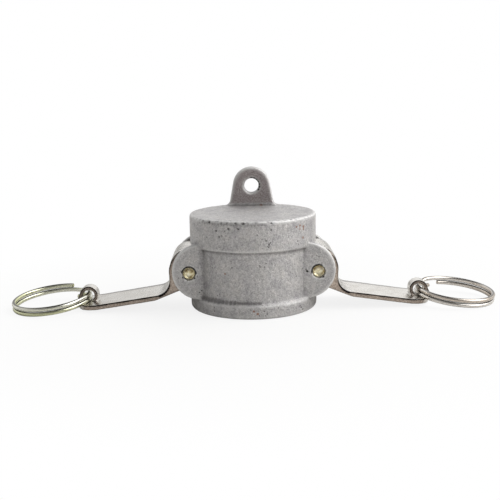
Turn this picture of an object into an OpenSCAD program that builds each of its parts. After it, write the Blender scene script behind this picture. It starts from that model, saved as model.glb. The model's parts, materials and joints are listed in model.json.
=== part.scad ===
// Lever-locked dust cap for a quick-coupling nose, one-inch size.
// Millimetres. The socket opens downward at Z = 0 and its axis is Z.
// The levers lie along X, the fixing tab stands at the back (+Y).

/* [Socket] */
// Bore that slips over the coupling nose
socket_bore = 37.5; // [34:0.1:60]
// Depth from the mouth up to the gasket lip
socket_depth = 24.6; // [24.2:0.1:34]
// Lead-in chamfer at the mouth
mouth_chamfer = 0.8; // [0.3:0.1:1.5]
// Shallow relief of the bore between its two guide lands, where the cams work
socket_relief = 0.2; // [0.1:0.05:0.4]

/* [Body] */
// Wall of the waist, between socket and outside
waist_wall = 3.65; // [3:0.05:8]
// How far the crown stands out from the waist
crown_step = 1.1; // [0.5:0.1:2.5]
// How far the collar at the mouth stands out from the waist
collar_step = 1.25; // [0.5:0.05:2.5]
// Height of the collar
collar_height = 5.4; // [3:0.1:6]
// Height of the crown, measured down from the closed end
crown_height = 11.2; // [8:0.1:12]
// Thickness of the closed end over the gasket
end_wall = 4.4; // [3:0.1:10]
// Radius on the rim of the closed end
crown_edge = 0.7; // [0.2:0.1:2]
// Radius on the rim of the mouth
mouth_edge = 1.6; // [0.3:0.1:2.2]
// Cast fillet in the corners beside the waist
cast_fillet = 0.9; // [0.3:0.1:1.4]

/* [Gasket] */
// How far the gasket reaches out past the socket bore
gasket_lip = 1.05; // [0.6:0.05:1.6]
// Radial width of the gasket
gasket_width = 6.3; // [4:0.1:9]
// Thickness of the gasket
gasket_thick = 6.35; // [4:0.05:8]

/* [Ears] */
// Thickness of each ear plate
ear_thick = 3.2; // [2:0.1:6]
// Radius of the ear outline
ear_radius = 10.2; // [9.2:0.1:11]
// How far inboard of the pin the ear outline is centred
ear_inset = 4.0; // [2:0.1:6]
// How far above the pin the ear outline is centred
ear_rise = 0.5; // [0:0.1:1.5]
// Depth of the staking marks round each pin
stake_depth = 0.35; // [0.1:0.05:0.6]

/* [Pins] */
// Pin diameter
pin_dia = 4.4; // [3:0.1:6]
// How far the pin axis stands out from the waist
pin_out = 1.2; // [0.8:0.1:3]
// Height of the pin axis above the mouth
pin_height = 15.0; // [14.8:0.1:15.4]
// How deep each pin end sits under the ear face
pin_recess = 0.8; // [0.1:0.05:1.2]

/* [Levers] */
// Width of a lever at its hub
lever_width = 19.4; // [14:0.1:22]
// Width of a lever at its outer end
lever_end_width = 18.2; // [12:0.1:22]
// Distance from the pin axis to the tip of the lever
lever_length = 44.0; // [40:0.5:80]
// Thickness of the handle strip
lever_thick = 1.9; // [1.4:0.1:3]
// Radius of the hub round the pin
hub_radius = 7.6; // [6.5:0.1:8]
// Reach of the cam lobe from the pin axis
cam_reach = 8.5; // [8.1:0.1:8.7]
// Drop of the handle below the pin axis, at the root
handle_drop = 8.4; // [7:0.1:9.5]
// Downward slope of the handle, degrees
handle_slope = 8.4; // [2:0.1:9]
// Inner radius of the curve between hub and handle
root_curve = 5.4; // [3:0.1:8]

/* [Ring eyes] */
// Hole for the pull ring
eye_hole = 4.4; // [3.8:0.1:4.8]
// Metal round the eye hole
eye_wall = 1.3; // [0.8:0.1:2.2]
// Width of the eye lug
eye_width = 5.2; // [3:0.1:7]

/* [Pull rings] */
// Outside diameter of the ring
ring_od = 30.0; // [28:0.1:40]
// Wire of the ring
ring_wire = 1.6; // [1.2:0.05:1.8]
// Angle that the crossover between the two coils takes
ring_cross = 40; // [30:1:60]

/* [Fixing tab] */
// Width of the tab where it meets the closed end
tab_base = 17.6; // [14:0.1:22]
// Radius of the tab top
tab_radius = 7.2; // [5:0.1:8]
// Height of the tab hole above the closed end
tab_hole_height = 7.8; // [6:0.1:12]
// Thickness of the tab
tab_thick = 4.2; // [3:0.1:6]
// Distance from the rim of the crown to the back of the tab
tab_inset = 2.6; // [2:0.1:6]
// Hole in the tab
tab_hole = 5.6; // [4:0.1:7]
// Chamfer on both sides of the tab hole
tab_chamfer = 0.55; // [0.2:0.05:1]

/* [Clearances] */
// Radial gap between a pin and the lever on it
pin_gap = 0.06; // [0.02:0.01:0.09]
// Gap on each side between a lever and the ears
side_gap = 0.2; // [0.1:0.05:0.4]
// Gap between the cam lobe and the slot it turns in
cam_gap = 0.3; // [0.2:0.05:0.4]
// Radial room round the gasket
gasket_gap = 0.25; // [0.1:0.05:0.4]
// Gap between the two coils of a ring
coil_gap = 0.06; // [0.04:0.01:0.12]

/* [Hidden] */
eps = 0.01;
$fn = 64;
bore_r = socket_bore / 2;
waist_r = bore_r + waist_wall;
crown_r = waist_r + crown_step;
collar_r = waist_r + collar_step;
groove_r = bore_r + gasket_lip + gasket_gap;
groove_h = gasket_thick + 0.04;
roof_z = socket_depth + groove_h;
top_z = roof_z + end_wall;
crown_z = top_z - crown_height;
gasket_r = bore_r + gasket_lip;
gasket_hole_r = gasket_r - gasket_width;

pin_x = waist_r + pin_out;
pin_z = pin_height;
pin_r = pin_dia / 2;
press_gap = 0.01;
ear_in = lever_width / 2 + side_gap;
ear_out = ear_in + ear_thick;
ear_x = pin_x - ear_inset;
ear_z = pin_z + ear_rise;
slot_r = cam_reach + cam_gap;
stake_r = pin_r + 0.95;
// The relief covers the height over which the slots open into the bore
relief_half = sqrt(max(1, pow(slot_r, 2) - pow(pin_x - bore_r, 2))) + 0.3;
relief_low = max(pin_z - relief_half, mouth_chamfer + 1);
relief_high = min(pin_z + relief_half, socket_depth - 1);

root_x = pin_x + hub_radius;
shoulder_x = pin_x + lever_length - 9.1;
tip_x = pin_x + lever_length;
end_r = lever_end_width / 2;
end_x = tip_x - end_r;
handle_tan = tan(handle_slope);
// Height of the handle's top face at the distance x from the body axis
function handle_z(x) = pin_z - handle_drop - (x - root_x - 3) * handle_tan;
plate_tan = handle_tan * 0.4;
// Height of the end plate's top face, past the shoulder
function plate_z(x) = handle_z(shoulder_x) - (x - shoulder_x) * plate_tan;
relief_x = bore_r + 0.35;

coil_r = (ring_od - ring_wire) / 2;
coil_pitch = ring_wire + coil_gap;
eye_r = eye_hole / 2 + eye_wall;
eye_x = shoulder_x + eye_r + 0.1;
eye_z = plate_z(eye_x) + eye_hole / 2 + 0.15;
ring_slope = asin((eye_z - ring_wire / 2 - coil_pitch / 2) / (2 * coil_r));
// The crossover arc meets both coils exactly at their ends
cross_y = coil_r * sin(ring_cross / 2);
cross_x = coil_r * cos(ring_cross / 2);
cross_reach = sqrt(pow(cross_y, 2) + pow(coil_pitch / 2, 2));
cross_tilt = atan2(coil_pitch / 2, cross_y);
cross_half = atan2(cross_reach, cross_x);
cross_r = sqrt(pow(cross_x, 2) + pow(cross_reach, 2));
cross_at = 145;

tab_y = crown_r - tab_inset - tab_thick / 2;
tab_z = top_z + tab_hole_height;
tab_foot = 0.8;
// The sides of the tab leave its round top on a tangent
tab_far = sqrt(pow(tab_base / 2, 2) + pow(tab_hole_height, 2));
tab_turn = acos(tab_radius / tab_far) - atan2(tab_hole_height, tab_base / 2);
tab_outline = [[-tab_base / 2, top_z - 1], [tab_base / 2, top_z - 1], [tab_base / 2, top_z],
    [tab_radius * cos(tab_turn), tab_z + tab_radius * sin(tab_turn)],
    [-tab_radius * cos(tab_turn), tab_z + tab_radius * sin(tab_turn)], [-tab_base / 2, top_z]];

// A cylinder along Y, centred on the XZ plane
module along_y(r, h) { rotate([90, 0, 0]) cylinder(r = r, h = h, center = true); }

// A drawing in XZ made solid, centred on the XZ plane
module plate_y(h) { rotate([90, 0, 0]) linear_extrude(height = h, center = true) children(); }

// Points on a quarter-like arc, for the turned profiles
function arc(cx, cy, r, from, to, n = 6) =
    [for (i = [0 : n]) [cx + r * cos(from + (to - from) * i / n), cy + r * sin(from + (to - from) * i / n)]];

// Outside of the casting: collar, waist and crown in one turned profile
module casting_blank() {
    f = cast_fillet;
    rotate_extrude($fn = 144) polygon(concat(
        [[0, 0], [collar_r - mouth_edge, 0]],
        arc(collar_r - mouth_edge, mouth_edge, mouth_edge, -80, 0),
        [[collar_r, collar_height - 0.5], [collar_r - 0.4, collar_height]],
        arc(waist_r + f, collar_height + f, f, -90, -180, 4),
        arc(waist_r + f * 0.6, crown_z - f * 0.6, f * 0.6, 180, 90, 3),
        [[crown_r - 0.2, crown_z], [crown_r, crown_z + 0.3]],
        arc(crown_r - crown_edge, top_z - crown_edge, crown_edge, 0, 90, 5),
        [[0, top_z]]));
}

// Socket, gasket groove and mouth chamfer, cut out of the blank
module socket_cut() {
    rotate_extrude($fn = 144) polygon([
        [0, -1], [bore_r + mouth_chamfer + 1, -1], [bore_r + mouth_chamfer, 0],
        [bore_r, mouth_chamfer], [bore_r, relief_low],
        [bore_r + socket_relief, relief_low + socket_relief],
        [bore_r + socket_relief, relief_high - socket_relief],
        [bore_r, relief_high], [bore_r, socket_depth], [groove_r, socket_depth],
        [groove_r, roof_z], [0, roof_z]]);
}

// One pair of ears, on the +X side
module ear_pair() {
    for (s = [-1, 1]) translate([0, s * (ear_in + ear_thick / 2), 0]) {
        translate([ear_x, 0, ear_z]) along_y(ear_radius, ear_thick, $fn = 96);
        // A foot joins the outline to the waist below
        translate([ear_x - 6, -ear_thick / 2, ear_z - ear_radius + 0.4])
            cube([6, ear_thick, ear_radius * 2 - 0.8]);
    }
}

// Everything cut for one lever: slot, pin bores, recesses and staking marks
module ear_cuts() {
    translate([pin_x, 0, pin_z]) {
        along_y(slot_r, 2 * ear_in, $fn = 96);
        along_y(pin_r + press_gap, 2 * ear_out + 2);
        for (s = [-1, 1]) translate([0, s * ear_out, 0]) {
            along_y(pin_r + 0.25, 2 * pin_recess + 0.2);
            for (a = [75, 195, 315]) rotate([0, -a, 0]) translate([stake_r, 0, 0])
                rotate([90 * s, 0, 0]) translate([0, 0, -eps])
                    cylinder(r1 = 0.42, r2 = 0.1, h = stake_depth);
        }
    }
}

// The fixing tab at the back of the closed end
module fixing_tab() {
    translate([0, tab_y, 0]) difference() {
        union() {
            translate([0, 0, tab_z]) along_y(tab_radius, tab_thick, $fn = 96);
            plate_y(tab_thick) polygon(tab_outline);
            // Cast fillet along the foot of the tab
            rotate([90, 0, 90]) linear_extrude(height = tab_base + 0.8, center = true)
                polygon([for (s = [-1, 1]) for (k = [0 : 4]) let (i = s < 0 ? 4 - k : k)
                    [s * (tab_thick / 2 + tab_foot * (1 - sin(22.5 * i))),
                     top_z + tab_foot * (1 - cos(22.5 * i)) - eps]]);
        }
        translate([0, 0, tab_z]) {
            along_y(tab_hole / 2, tab_thick + 4);
            for (s = [-1, 1]) translate([0, s * tab_thick / 2, 0]) rotate([-90 * s, 0, 0])
                translate([0, 0, -tab_chamfer])
                    cylinder(r1 = tab_hole / 2, r2 = tab_hole / 2 + 2 * tab_chamfer, h = 2 * tab_chamfer);
        }
    }
}

module cap_body() {
    color("#a3a4a6") difference() {
        union() {
            casting_blank();
            ear_pair();
            mirror([1, 0, 0]) ear_pair();
            fixing_tab();
        }
        socket_cut();
        ear_cuts();
        mirror([1, 0, 0]) ear_cuts();
    }
}

module gasket() {
    color("#26272a") translate([0, 0, roof_z - gasket_thick]) difference() {
        cylinder(r = gasket_r, h = gasket_thick, $fn = 96);
        translate([0, 0, -1]) cylinder(r = gasket_hole_r, h = gasket_thick + 2, $fn = 96);
        // A shallow sealing bead is left between two grooves in the lower face
        translate([0, 0, -eps]) difference() {
            cylinder(r = gasket_hole_r + gasket_width * 0.45, h = 0.4, $fn = 96);
            translate([0, 0, -1]) cylinder(r = gasket_hole_r + gasket_width * 0.25, h = 3, $fn = 96);
        }
    }
}

// A pivot pin with slightly domed ends, on the +X side
module pivot_pin() {
    half = ear_out - pin_recess;
    color("#b8963e") translate([pin_x, 0, pin_z]) rotate([90, 0, 0]) rotate_extrude()
        polygon([[0, -half], [pin_r - 0.5, -half], [pin_r, -half + 0.3], [pin_r, half - 0.3],
                 [pin_r - 0.5, half], [0, half]]);
}

// Side view of a lever: root web, handle strip and end plate
module lever_profile() {
    t = lever_thick / cos(handle_slope);
    // The web leaves the hub a little inside its outermost line
    web_x = root_x - 0.12;
    turn = 90 + handle_slope;
    tan_len = root_curve / tan(turn / 2);
    cx = web_x + root_curve;
    cz = handle_z(web_x) + tan_len;
    under_x = web_x + tan_len - 0.2;
    far_x = tip_x + 1;
    polygon(concat(
        [[pin_x, pin_z], [web_x, pin_z]],
        arc(cx, cz, root_curve, 180, 270 - handle_slope, 18),
        [[shoulder_x, handle_z(shoulder_x)], [far_x, plate_z(far_x)], [far_x, plate_z(far_x) - t],
         [shoulder_x, handle_z(shoulder_x) - t], [under_x + 1.2, handle_z(under_x + 1.2) - t],
         [under_x, handle_z(under_x) - t + 0.25], [pin_x + 3.6, pin_z - hub_radius + 0.7],
         [pin_x, pin_z - hub_radius + 0.2]]));
}

// Eye lug that carries the pull ring, side view
module eye_profile() {
    translate([eye_x, eye_z]) circle(r = eye_r, $fn = 72);
    polygon([[eye_x, plate_z(eye_x) - 0.6], [eye_x, eye_z], [eye_x + eye_r * 0.7, eye_z + eye_r * 0.7],
             [tip_x - 0.6, plate_z(tip_x) + 0.1], [tip_x - 0.9, plate_z(tip_x) - 0.6]]);
}

// A lever in its open position, on the +X side
module cam_arm() {
    color("#c9c6c0") difference() {
        union() {
            intersection() {
                plate_y(lever_width) lever_profile();
                // Plan view: a taper that ends in a half circle
                linear_extrude(height = pin_z + 2) polygon(concat(
                    [[pin_x - 4, -lever_width / 2], [root_x + 2, -lever_width / 2]],
                    arc(end_x, 0, end_r, -90, 90, 40),
                    [[root_x + 2, lever_width / 2], [pin_x - 4, lever_width / 2]]));
            }
            translate([pin_x, 0, pin_z]) {
                along_y(hub_radius, lever_width, $fn = 96);
                rotate([0, -83, 0]) translate([cam_reach - hub_radius + 0.6, 0, 0])
                    along_y(hub_radius - 0.6, lever_width - 0.8, $fn = 96);
            }
            plate_y(eye_width) eye_profile();
        }
        translate([pin_x, 0, pin_z]) along_y(pin_r + pin_gap, lever_width + 2);
        translate([eye_x, 0, eye_z]) along_y(eye_hole / 2, eye_width + 2);
        // Flat that keeps the open lever out of the socket
        translate([relief_x - 12, -lever_width, pin_z - 12]) cube([12, 2 * lever_width, 26]);
    }
}

// A split ring: two coils of one wire, lying open on the +X side
module pull_ring() {
    sweep = 360 - ring_cross;
    w = ring_wire / 2;
    color("#b9b4a2") translate([eye_x, 0, eye_z]) rotate([0, ring_slope, 0])
        translate([coil_r, 0, 0]) rotate([0, 0, cross_at]) {
            for (s = [-1, 1]) translate([0, 0, s * coil_pitch / 2])
                rotate([0, 0, ring_cross / 2]) rotate_extrude(angle = sweep, $fn = 90)
                    translate([coil_r, 0]) circle(r = w, $fn = 32);
            // The crossover is a short arc, tilted from one coil to the other
            rotate([-cross_tilt, 0, 0]) rotate([0, 0, -cross_half])
                rotate_extrude(angle = 2 * cross_half, $fn = 90) translate([cross_r, 0]) circle(r = w * 0.98, $fn = 32);
            // A rounded bead turns the wire at each end of the crossover
            for (s = [-1, 1]) rotate([0, 0, s * ring_cross / 2])
                translate([coil_r, 0, -s * coil_pitch / 2]) sphere(r = w * 1.02, $fn = 32);
        }
}

module pivot_pin_right() { pivot_pin(); }
module pivot_pin_left() { mirror([1, 0, 0]) pivot_pin(); }
module cam_arm_right() { cam_arm(); }
module cam_arm_left() { mirror([1, 0, 0]) cam_arm(); }
module pull_ring_right() { pull_ring(); }
module pull_ring_left() { mirror([1, 0, 0]) pull_ring(); }

cap_body();
gasket();
pivot_pin_left();
pivot_pin_right();
cam_arm_left();
cam_arm_right();
pull_ring_left();
pull_ring_right();
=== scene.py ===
"""Looks of a lever-locked dust cap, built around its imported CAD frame.

The cap is a cast aluminium cup with a tab on its closed end. Two cast stainless levers turn on
brass pins between its ears, and each lever carries a split ring of plated wire. The CAD gives
every size and place; this script gives the castings their soft edges, grain and wear, winds the
rings from real wire, and sets up the studio and the camera.
"""

import json
import logging
import math
from dataclasses import dataclass, field
from enum import Enum
from typing import Any, Callable, Sequence

import bpy
import numpy as np
from mathutils import Matrix, Vector, noise


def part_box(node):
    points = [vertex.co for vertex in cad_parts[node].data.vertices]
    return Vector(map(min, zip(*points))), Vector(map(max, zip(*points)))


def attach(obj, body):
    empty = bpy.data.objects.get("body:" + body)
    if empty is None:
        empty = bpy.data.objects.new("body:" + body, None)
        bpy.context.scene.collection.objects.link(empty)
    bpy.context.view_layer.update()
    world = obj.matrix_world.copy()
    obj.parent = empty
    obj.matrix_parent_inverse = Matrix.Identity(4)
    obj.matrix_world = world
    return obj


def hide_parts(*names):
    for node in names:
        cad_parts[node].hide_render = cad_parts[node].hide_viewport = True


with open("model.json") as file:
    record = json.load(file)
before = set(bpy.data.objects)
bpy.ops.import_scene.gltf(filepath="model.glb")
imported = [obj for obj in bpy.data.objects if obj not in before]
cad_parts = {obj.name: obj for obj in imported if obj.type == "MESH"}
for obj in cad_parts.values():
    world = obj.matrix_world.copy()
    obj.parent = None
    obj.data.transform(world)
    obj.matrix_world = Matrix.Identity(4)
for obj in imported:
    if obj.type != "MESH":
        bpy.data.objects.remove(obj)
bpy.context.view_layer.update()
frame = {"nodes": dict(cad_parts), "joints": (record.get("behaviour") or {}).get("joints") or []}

log = logging.getLogger("dust_cap")
MM = 0.001
Point = tuple[float, float, float]
Socket = bpy.types.NodeSocket
Tree = bpy.types.NodeTree


class Side(Enum):
    """The two levers' sides, by the sign of their X."""

    LEFT = -1
    RIGHT = 1

    @property
    def label(self) -> str:
        """The side's name as the CAD nodes spell it."""
        return self.name.lower()


class Grain(Enum):
    """The coordinates that a procedural pattern lies in."""

    ALL_ROUND = "Object"
    ALONG_WIRE = "UV"


# ------------------------------------------------------------ mesh helpers


def new_object(name: str, verts: Any, faces: Any) -> bpy.types.Object:
    """Make a smooth-shaded mesh object from points and faces.

    Args:
        name: The piece's name.
        verts: Points in metres.
        faces: Vertex indices of each face.

    Returns:
        The linked object.
    """
    mesh = bpy.data.meshes.new(name)
    mesh.from_pydata([tuple(v) for v in verts], [], [tuple(f) for f in faces])
    mesh.validate()
    return linked(name, mesh)


def linked(name: str, mesh: bpy.types.Mesh) -> bpy.types.Object:
    """Put a mesh in the scene as a smooth-shaded object.

    Args:
        name: The piece's name.
        mesh: Its mesh.

    Returns:
        The linked object.
    """
    mesh.name = name
    mesh.polygons.foreach_set("use_smooth", [True] * len(mesh.polygons))
    obj = bpy.data.objects.new(name, mesh)
    bpy.context.scene.collection.objects.link(obj)
    return obj


def with_modifiers(mesh: bpy.types.Mesh, *steps: tuple[str, dict[str, Any]]) -> bpy.types.Mesh:
    """Run a mesh through modifiers and return the result.

    Args:
        mesh: The mesh, which stays as it is.
        steps: Modifier type and its settings, in order.

    Returns:
        A new mesh with no materials.
    """
    work = bpy.data.objects.new("work", mesh)
    bpy.context.scene.collection.objects.link(work)
    for kind, settings in steps:
        modifier = work.modifiers.new(kind, kind)
        for key, value in settings.items():
            setattr(modifier, key, value)
    bpy.context.view_layer.update()
    made = bpy.data.meshes.new_from_object(work.evaluated_get(bpy.context.evaluated_depsgraph_get()))
    bpy.data.objects.remove(work)
    made.materials.clear()
    return made


def column(items: Any, attribute: str, width: int, kind: type = np.float32) -> np.ndarray:
    """Read one attribute of a mesh's items as an array of rows.

    Args:
        items: Vertices, edges or normals of a mesh.
        attribute: The attribute to read.
        width: How many values each item has.
        kind: The values' type.

    Returns:
        One row per item.
    """
    flat = np.empty(len(items) * width, kind)
    items.foreach_get(attribute, flat)
    return flat.reshape(-1, width).astype(float if kind is np.float32 else kind)


def points_of(mesh: bpy.types.Mesh) -> np.ndarray:
    """A mesh's points as rows, in millimetres."""
    return column(mesh.vertices, "co", 3) / MM


def move_points(mesh: bpy.types.Mesh, points: np.ndarray) -> None:
    """Give a mesh new points, in millimetres."""
    mesh.vertices.foreach_set("co", (points * MM).astype(np.float32).ravel())
    mesh.update()


@dataclass
class CastSkin:
    """An even skin over a CAD node, shaped point by point.

    Attributes:
        mesh: The skin, in small even cells.
    """

    mesh: bpy.types.Mesh

    @classmethod
    def over(cls, node: str, voxel_mm: float, rounds: int) -> "CastSkin":
        """Cover a CAD node.

        Args:
            node: The node.
            voxel_mm: Size of the skin's cells.
            rounds: How many times the whole skin is smoothed.

        Returns:
            The skin.
        """
        steps = (
            ("WELD", {"merge_threshold": 2e-6}),
            ("REMESH", {"mode": "VOXEL", "voxel_size": voxel_mm * MM}),
            ("SMOOTH", {"factor": 0.5, "iterations": rounds}),
        )
        return cls(with_modifiers(frame["nodes"][node].data.copy(), *steps))

    @property
    def points(self) -> np.ndarray:
        """The points as rows, in millimetres."""
        return points_of(self.mesh)

    @property
    def outward(self) -> np.ndarray:
        """The point normals as rows."""
        return column(self.mesh.vertex_normals, "vector", 3)

    def settle(self, where: np.ndarray, rounds: int, hollows: bool = False, flat_mm: float = 0.0) -> np.ndarray:
        """Let points settle towards their neighbours, round by round.

        Args:
            where: How far each point may go in a round, 0 to 1.
            rounds: Number of rounds; more rounds make a larger radius.
            hollows: Only fill hollows, outwards, and leave outside edges alone.
            flat_mm: Hollows shallower than this within one cell stay.

        Returns:
            The settled points in millimetres; the mesh stays as it is.
        """
        points, outward = self.points, self.outward
        edges = column(self.mesh.edges, "vertices", 2, np.int32)
        edges = edges[(where[edges[:, 0]] > 0) | (where[edges[:, 1]] > 0)]
        start, end, count = edges[:, 0], edges[:, 1], len(points)
        degree = np.maximum(np.bincount(start, minlength=count) + np.bincount(end, minlength=count), 1)
        for _ in range(rounds):
            pull = np.empty_like(points)
            for axis in range(3):
                line = points[:, axis]
                total = np.bincount(start, line[end], count) + np.bincount(end, line[start], count)
                pull[:, axis] = total / degree - line
            if hollows:
                rise = np.einsum("ij,ij->i", pull, outward) - flat_mm
                pull = outward * np.clip(rise, 0, None)[:, None]
            points += pull * where[:, None]
        return points

    def move(self, points: np.ndarray) -> None:
        """Give the skin new points, in millimetres."""
        move_points(self.mesh, points)

    def mark_relief(self, rounds: int) -> None:
        """Store how far each point lies under its surroundings, in millimetres, for the finishes."""
        around = self.settle(np.full(len(self.mesh.vertices), 0.5), rounds)
        depth = np.einsum("ij,ij->i", around - self.points, self.outward)
        self.mesh.attributes.new("relief", "FLOAT", "POINT").data.foreach_set("value", depth.astype(np.float32))

    def lean(self, name: str, faces: int) -> bpy.types.Object:
        """Thin the skin out where it is flat.

        Args:
            name: The piece's name.
            faces: About how many triangles stay.

        Returns:
            The linked object.
        """
        keep = min(1.0, faces / (2 * len(self.mesh.polygons)))
        return linked(name, with_modifiers(self.mesh, ("DECIMATE", {"ratio": keep})))


def waviness(points: np.ndarray, wave_mm: float, seed: float) -> np.ndarray:
    """Slow unevenness of a cast or tumbled skin.

    Args:
        points: Points in millimetres.
        wave_mm: Length of one wave.
        seed: Offset that makes each piece different.

    Returns:
        A value from about -1 to 1 for each point.
    """
    shift = Vector((seed, seed * 0.7, seed * 1.3))
    return np.array([noise.noise(Vector(p) / wave_mm + shift) for p in points])


def dinted(points: np.ndarray, at: Sequence[float], radius: float, depth: float) -> np.ndarray:
    """Depth of one smooth dint at each point.

    Args:
        points: Points in millimetres.
        at: Centre of the dint.
        radius: Its radius.
        depth: Its depth at the centre.

    Returns:
        How far each point goes in.
    """
    near = np.linalg.norm(points - np.array(at), axis=1) / radius
    return depth * np.clip(1 - near**2, 0, None) ** 2


def turned(name: str, profile: Sequence[tuple[float, float]], segments: int) -> bpy.types.Object:
    """Turn a closed profile round Z, counter-clockwise in radius and height.

    Args:
        name: The piece's name.
        profile: Radius and height of each point, in millimetres.
        segments: Steps round the axis.

    Returns:
        The turned object.
    """
    count, verts, spot, faces = len(profile), [], {}, []
    for i, a in enumerate(np.linspace(0, 2 * math.pi, segments, endpoint=False)):
        for j, (r, z) in enumerate(profile):
            # A point on the axis is shared by every step
            spot[i, j] = spot[0, j] if i and r == 0 else len(verts)
            if spot[i, j] == len(verts):
                verts.append((r * math.cos(a) * MM, r * math.sin(a) * MM, z * MM))
    for i in range(segments):
        for j in range(count):
            ahead, over = (i + 1) % segments, (j + 1) % count
            face = list(dict.fromkeys((spot[i, j], spot[ahead, j], spot[ahead, over], spot[i, over])))
            if len(face) > 2:
                faces.append(face)
    return new_object(name, verts, faces)


# ------------------------------------------------------- material helpers


def srgb(code: str) -> tuple[float, float, float, float]:
    """Turn an sRGB hex colour to linear RGBA.

    Args:
        code: Six hex digits with a leading #.

    Returns:
        Linear red, green, blue and an alpha of 1.
    """
    parts = [int(code[i : i + 2], 16) / 255 for i in (1, 3, 5)]
    linear = [c / 12.92 if c <= 0.04045 else ((c + 0.055) / 1.055) ** 2.4 for c in parts]
    return (linear[0], linear[1], linear[2], 1.0)


def grey(value: float) -> tuple[float, float, float, float]:
    """A linear grey as RGBA."""
    return (value, value, value, 1.0)


def add_node(tree: Tree, kind: str, inputs: dict[Any, Any] | None = None, **settings: Any) -> bpy.types.Node:
    """Add one shader node with its settings, values and links.

    Args:
        tree: The node tree that gets the node.
        kind: Blender's node type, such as ShaderNodeTexNoise.
        inputs: Input name or index to a value, or to the output socket that is linked to it.
        settings: Properties set on the node itself; stops gives a ramp's positions and colours.

    Returns:
        The new node.
    """
    node = tree.nodes.new(kind)
    stops = settings.pop("stops", None)
    for name, value in settings.items():
        setattr(node, name, value)
    for key, value in (inputs or {}).items():
        if isinstance(value, Socket):
            tree.links.new(value, node.inputs[key])
        else:
            node.inputs[key].default_value = value
    if stops:
        band = node.color_ramp
        band.elements[0].position, band.elements[0].color = stops[0]
        band.elements[1].position, band.elements[1].color = stops[-1]
        for place, colour in stops[1:-1]:
            band.elements.new(place).color = colour
    return node


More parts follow.
